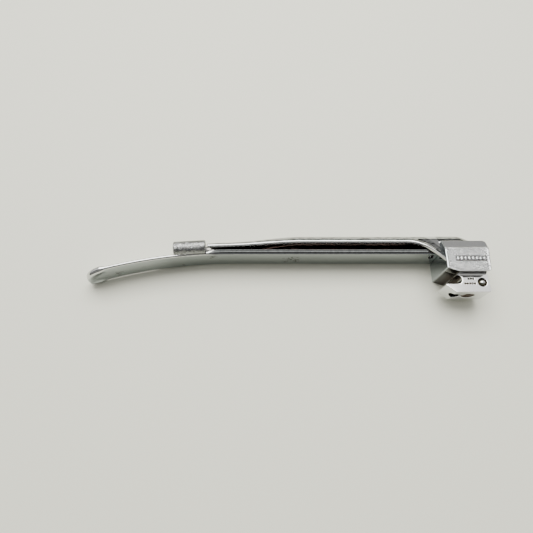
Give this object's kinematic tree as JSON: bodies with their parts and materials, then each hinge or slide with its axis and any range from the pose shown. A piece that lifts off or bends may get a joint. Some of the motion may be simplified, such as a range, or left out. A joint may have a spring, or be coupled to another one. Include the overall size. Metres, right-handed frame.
{
  "type": "laryngoscope blade",
  "caption": "Straight laryngoscope blade with a channel section, a hook-on handle fitting with sprung detent balls, and a screw-in lamp near the tip.",
  "frame": {"origin": "centre of the hook's pin seat, halfway through the hook's thickness", "axes": "+X along the blade towards its heel, so the tip is at -X; +Y away from the handle; +Z out of the channel's open side, up as the blade lies on its side"},
  "size_m": [0.1527, 0.0251, 0.017],
  "materials": {
    "chrome_sheet": "worn bright chrome plate",
    "chrome_block": "worn bright chrome plate, matte stippled panels",
    "chrome_ferrule": "satin chrome plate",
    "solder": "dull solder",
    "steel": "bright",
    "ball_steel": "polished",
    "nickel_tube": "drawn nickel silver",
    "brass": "tarnished",
    "copper": "bare copper",
    "phenolic": "brown moulded phenolic",
    "wire_sleeve": "black sleeve",
    "lamp_glass": "clear",
    "cement": "basing cement",
    "tungsten": "drawn wire"
  },
  "bodies": {
    "blade": {"blade_channel": "chrome_sheet", "heel_block": "chrome_block", "heel_pin": "steel", "passage_plug": "steel", "lamp_ferrule": "chrome_ferrule", "ferrule_solder": "solder", "socket_insulator": "phenolic", "socket_contact": "brass", "conduit_tube": "nickel_tube", "conductor_insulation": "wire_sleeve", "conductor_core": "copper", "contact_insulator": "phenolic", "contact_button": "brass", "detent_spring": "steel"},
    "ball_right": {"detent_ball_right": "ball_steel"},
    "ball_left": {"detent_ball_left": "ball_steel"},
    "lamp": {"lamp_shell": "brass", "lamp_glass": "lamp_glass", "lamp_cement": "cement", "lamp_bead": "lamp_glass", "lamp_leads": "tungsten", "lamp_filament": "tungsten", "lamp_insulator": "phenolic", "lamp_contact": "solder"}
  },
  "joints": [
    {"name": "ball_right_press", "type": "slide", "parent": "blade", "child": "ball_right", "axis": [0, 0, -1], "range_m": [0, 0.00045], "stiffness_N_per_m": 1500, "springref_m": -0.0006, "deforming": ["detent_spring"]},
    {"name": "ball_left_press", "type": "slide", "parent": "blade", "child": "ball_left", "axis": [0, 0, 1], "range_m": [0, 0.00045], "stiffness_N_per_m": 1500, "springref_m": -0.0006, "deforming": ["detent_spring"]},
    {"name": "lamp_unscrew", "type": "slide", "parent": "blade", "child": "lamp", "axis": [-0.9981, -0.061, 0], "range_m": [0, 0.012]}
  ]
}
